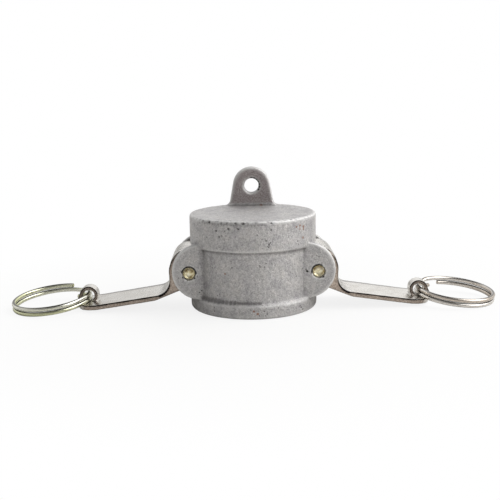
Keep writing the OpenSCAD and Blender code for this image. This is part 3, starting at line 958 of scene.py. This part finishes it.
@dataclass
class SplitRing:
    """A key ring wound twice from one wire, with its crossover and cut ends.

    Attributes:
        side: The lever that carries it.
        wire_mm: Wire diameter.
        gap_mm: Gap between the coils.
        cross_deg: Angle that the crossover takes.
        cross_at_deg: Where the crossover is, from the ring's outer end.
        tail_deg: How far one cut end goes on beside the crossover.
        tail_in_mm: How far that end lies inside the coil.
        tail_fall_mm: How far that end lies under the coil.
        short_deg: How far the other cut end stops short of the crossover.
        lay: 1 or -1, the way that the coils are wound.
        spring: How much wider the coils stand away from the eye than at it.
        roll_deg: How far the ring leans to the front in its eye.
        hang_mm: How far it hangs under the middle of the eye.
        spokes: Points round the wire.
    """

    side: Side
    wire_mm: float = 1.6
    gap_mm: float = 0.06
    cross_deg: float = 40.0
    cross_at_deg: float = 145.0
    tail_deg: float = 34.0
    tail_in_mm: float = 1.8
    tail_fall_mm: float = 1.9
    short_deg: float = 11.0
    lay: int = 1
    spring: float = 0.1
    roll_deg: float = 4.0
    hang_mm: float = 0.35
    spokes: int = 24

    @classmethod
    def worn(cls, side: Side) -> "SplitRing":
        """The ring of one side, with its own cut ends."""
        return cls(side) if side is Side.LEFT else cls(side, lay=-1, short_deg=20.0)

    def centreline(self, radius: float) -> np.ndarray:
        """The wire's path in the ring's own plane, in millimetres.

        Args:
            radius: Radius of the coils.

        Returns:
            Rows of x, y, z along the wire, from one cut end to the other.
        """
        rise, half = (self.wire_mm + self.gap_mm) / 2, self.cross_deg / 2
        turns = np.linspace(half - 360 - self.tail_deg, 360 - half - self.short_deg, 1300)
        step = np.clip((turns + half) / self.cross_deg, 0, 1)
        level = self.lay * rise * (2 * step * step * (3 - 2 * step) - 1)
        # The coils spring a little apart, most at the side away from the eye
        level *= 1 + self.spring * (1 + np.cos(np.radians(turns + self.cross_at_deg))) / 2
        # The tail leaves the coil inwards and down
        tail = np.clip((half - 360 - turns) / self.tail_deg, 0, 1)
        level -= self.tail_fall_mm * tail * tail * (3 - 2 * tail)
        aside = np.clip(2 * tail, 0, 1)
        radius = radius - self.tail_in_mm * aside * aside * (3 - 2 * aside)
        angle = np.radians(turns + self.cross_at_deg)
        return np.stack([radius * np.cos(angle), radius * np.sin(angle), level], axis=1)

    def build(self) -> bpy.types.Object:
        """Sweep the wire round its path, set it in the eye and dress it."""
        node, sign = f"pull_ring_{self.side.label}", self.side.value
        joint = next(j for j in frame["joints"] if j["child"] == f"{self.side.label}_ring")
        low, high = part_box(node)
        eye = Vector(joint["pos_m"]) / MM
        coil = (high.y - low.y) / 2 / MM - self.wire_mm / 2
        path = self.centreline(coil)
        along = np.gradient(path, axis=0)
        along /= np.linalg.norm(along, axis=1)[:, None]
        out = path * np.array([1, 1, 0])
        up = np.cross(out, along)
        up /= np.linalg.norm(up, axis=1)[:, None]
        out = np.cross(along, up)
        verts, faces = self.tube(path, along, out, up)
        verts[:, 0] += coil
        verts = verts @ np.array(Matrix.Rotation(math.radians(self.roll_deg), 3, "X")).T
        slope = 0.15
        for _ in range(4):
            # The outer end of the ring comes down until the ring rests on the floor
            laid = verts @ np.array(Matrix.Rotation(slope, 3, "Y")).T + np.array([abs(eye.x), 0, eye.z - self.hang_mm])
            slope += laid[:, 2].min() / (2 * coil)
        verts = laid
        verts[:, 0] *= sign
        if sign < 0:
            faces = [f[::-1] for f in faces]
        obj = new_object(f"ring_{self.side.label}", verts * MM, faces)
        self.lay_grain(obj, len(path))
        return dress(obj, WIRE[self.side], f"{self.side.label}_ring", node, Grain.ALONG_WIRE)

    def tube(self, path: np.ndarray, along: np.ndarray, out: np.ndarray, up: np.ndarray) -> tuple[np.ndarray, list[tuple[int, ...]]]:
        """Skin of the wire, with a slightly bevelled cut at each end.

        Args:
            path: The wire's centreline.
            along: Its direction.
            out: Direction away from the ring's centre.
            up: Direction across the ring's plane.

        Returns:
            Points in millimetres, and faces.
        """
        radius, rows, spokes = self.wire_mm / 2, len(path), self.spokes
        turn = np.linspace(0, 2 * math.pi, spokes, endpoint=False)
        wheel = np.cos(turn)[None, :, None] * out[:, None, :] + np.sin(turn)[None, :, None] * up[:, None, :]
        verts = list((path[:, None, :] + radius * wheel).reshape(-1, 3))
        faces = [
            (i * spokes + j, (i + 1) * spokes + j, (i + 1) * spokes + (j + 1) % spokes, i * spokes + (j + 1) % spokes)
            for i in range(rows - 1)
            for j in range(spokes)
        ]
        for end, i in ((-1, 0), (1, rows - 1)):
            start = len(verts)
            verts += [path[i] + along[i] * end * 0.08 + 0.86 * radius * w for w in wheel[i]]
            verts.append(path[i] + along[i] * end * 0.08)
            for j in range(spokes):
                k = (j + 1) % spokes
                rim, cap = (i * spokes + j, start + j, start + k, i * spokes + k), (start + j, start + spokes, start + k)
                faces += [rim, cap] if end > 0 else [rim[::-1], cap[::-1]]
        return np.array(verts), faces

    def lay_grain(self, obj: bpy.types.Object, rows: int) -> None:
        """Lay a UV map in millimetres, U along the wire and V from its outer to its inner line."""
        layer = obj.data.uv_layers.new(name="along_wire")
        index = column(obj.data.loops, "vertex_index", 1, np.int32)[:, 0]
        row, spoke = np.minimum(index // self.spokes, rows - 1), index % self.spokes
        u = row / rows * 2 * math.pi * 28.4
        v = np.abs(spoke / self.spokes * 2 - 1) * math.pi * self.wire_mm / 2
        layer.data.foreach_set("uv", np.stack([u, v], axis=1).astype(np.float32).ravel())


# ------------------------------------------------------------------- studio


@dataclass
class Studio:
    """Pale floor, soft light and the camera, placed as in the photograph.

    Attributes:
        focal: Focal length in pixels of the 500 pixel frame.
        distance_mm: Distance from the eye to the aim.
        pitch_deg: How far the camera looks down.
        roll_deg: Its roll.
        yaw_deg: How far it stands round to the side.
        aim_mm: The point in the middle of the frame.
    """

    focal: float = 900.0
    distance_mm: float = 338.1
    pitch_deg: float = 10.99
    roll_deg: float = 1.03
    yaw_deg: float = 0.51
    aim_mm: Point = (-1.167, 0.0, 20.93)

    def floor(self) -> None:
        """A pale sheet under the cap that keeps a faint shadow."""
        half = 3.0
        obj = new_object("floor", [(-half, -half, 0), (half, -half, 0), (half, half, 0), (-half, half, 0)], [(0, 1, 2, 3)])
        made = bpy.data.materials.new("pale_studio_sheet")
        made.use_nodes = True
        tree = made.node_tree
        tree.nodes.clear()
        where = add_node(tree, "ShaderNodeTexCoord").outputs["Object"]
        p = Pattern(tree, where)
        sheet = add_node(tree, "ShaderNodeBsdfDiffuse", {"Color": srgb("#e9e8e6")}).outputs[0]
        white = add_node(tree, "ShaderNodeEmission", {"Color": grey(1.0), "Strength": 1.0}).outputs[0]
        # Near the cap the sheet shows its shadow; further out it is as white as the backdrop
        apart = add_node(tree, "ShaderNodeVectorMath", {0: where}, operation="LENGTH").outputs["Value"]
        near = p.band(apart, (0.05, grey(0.84)), (0.14, grey(1.0)))
        seen = p.maths("MULTIPLY", add_node(tree, "ShaderNodeLightPath").outputs["Is Camera Ray"], near)
        both = add_node(tree, "ShaderNodeMixShader", {0: seen, 1: sheet, 2: white}).outputs[0]
        add_node(tree, "ShaderNodeOutputMaterial", {"Surface": both})
        obj.data.materials.append(made)

    def world(self) -> None:
        """White to the camera; to everything else a studio with a white back and a dim front."""
        world = bpy.data.worlds.new("studio")
        bpy.context.scene.world = world
        world.use_nodes = True
        tree = world.node_tree
        tree.nodes.clear()
        way = add_node(tree, "ShaderNodeTexCoord").outputs["Generated"]
        p = Pattern(tree, way)
        axes = add_node(tree, "ShaderNodeSeparateXYZ", {0: way}).outputs
        across = p.maths("MULTIPLY_ADD", axes["X"], 0.5, 0.5)
        # The white backdrop stands behind the cap; the room in front is dim, and dimmer on the left
        back = p.band(p.maths("MULTIPLY_ADD", axes["Y"], 0.5, 0.5), (0.5, grey(0)), (0.62, grey(0.3)), (0.75, grey(1.0)))
        back = p.mix(1.0, back, p.band(across, (0.36, grey(0.6)), (0.5, grey(0.94)), (0.64, grey(1.04))), "MULTIPLY")
        room = p.band(across, (0.03, grey(0.8)), (0.16, grey(0.5)), (0.5, grey(0.26)), (0.86, grey(0.42)))
        room = p.mix(1.0, room, back, "ADD")
        # Dark edge of the table just over the horizon, bright wall above it, dark ceiling
        height = p.maths("MULTIPLY_ADD", axes["Z"], 0.5, 0.5)
        level = p.band(height, (0.5, grey(0.15)), (0.53, grey(0.3)), (0.56, grey(0.95)), (0.86, grey(1.15)), (0.9, grey(0.85)), (0.95, grey(0.12)))
        room = p.mix(1.0, room, level, "MULTIPLY")
        lit = add_node(tree, "ShaderNodeBackground", {"Color": room, "Strength": 0.9}).outputs[0]
        white = add_node(tree, "ShaderNodeBackground", {"Color": grey(1.0), "Strength": 1.0}).outputs[0]
        seen = add_node(tree, "ShaderNodeLightPath").outputs["Is Camera Ray"]
        both = add_node(tree, "ShaderNodeMixShader", {0: seen, 1: lit, 2: white}).outputs[0]
        add_node(tree, "ShaderNodeOutputWorld", {"Surface": both})

    def lamp(self, name: str, place: Sequence[float], size: float, power: float) -> None:
        """A square softbox aimed at the cap.

        Args:
            name: The lamp's name.
            place: Where it stands, in metres.
            size: Length of its side, in metres.
            power: Its power in watts.
        """
        data = bpy.data.lights.new(name, "AREA")
        data.shape, data.size, data.energy = "SQUARE", size, power
        obj = bpy.data.objects.new(name, data)
        obj.location = place
        obj.rotation_mode = "QUATERNION"
        obj.rotation_quaternion = (Vector((0, 0, 0.02)) - Vector(place)).to_track_quat("-Z", "Y")
        bpy.context.scene.collection.objects.link(obj)

    def camera(self) -> None:
        """The photograph's camera, from points fitted to it."""
        pitch, roll = math.radians(self.pitch_deg), math.radians(self.roll_deg)
        ahead = Vector((0, math.cos(pitch), -math.sin(pitch)))
        up = Vector((0, math.sin(pitch), math.cos(pitch)))
        right = Vector((1, 0, 0))
        right, up = math.cos(roll) * right - math.sin(roll) * up, math.sin(roll) * right + math.cos(roll) * up
        eye = Vector(self.aim_mm) * MM - ahead * self.distance_mm * MM
        turn = Matrix.Rotation(math.radians(-self.yaw_deg), 3, "Z")
        axes = Matrix((turn @ right, turn @ up, turn @ -ahead)).transposed()
        data = bpy.data.cameras.new("camera")
        data.sensor_width = 36.0
        data.lens = self.focal / 500 * data.sensor_width
        data.clip_start, data.clip_end = 0.01, 20.0
        obj = bpy.data.objects.new("camera", data)
        obj.rotation_mode = "QUATERNION"
        obj.location = turn @ eye
        obj.rotation_quaternion = axes.to_quaternion()
        bpy.context.scene.collection.objects.link(obj)
        bpy.context.scene.camera = obj

    def build(self) -> None:
        """Set up floor, light and camera."""
        self.floor()
        self.world()
        self.lamp("key", (0.66, -0.22, 0.53), 0.9, 6.0)
        self.lamp("top", (0.42, 0.12, 0.68), 0.5, 1.8)
        self.camera()
        bpy.context.scene.view_settings.view_transform = "Standard"


def main() -> None:
    """Build every piece in order and report it."""
    logging.basicConfig(level=logging.INFO, format="%(name)s: %(message)s")
    Studio().build()
    builders: list[Callable[[], bpy.types.Object]] = [CapCasting().build, SealingRing().build]
    for side in Side:
        builders += [PivotPin(side).build, CamLever(side).build, SplitRing.worn(side).build]
    for build in builders:
        log.info("made %s", build().name)


if __name__ == "__main__":
    main()
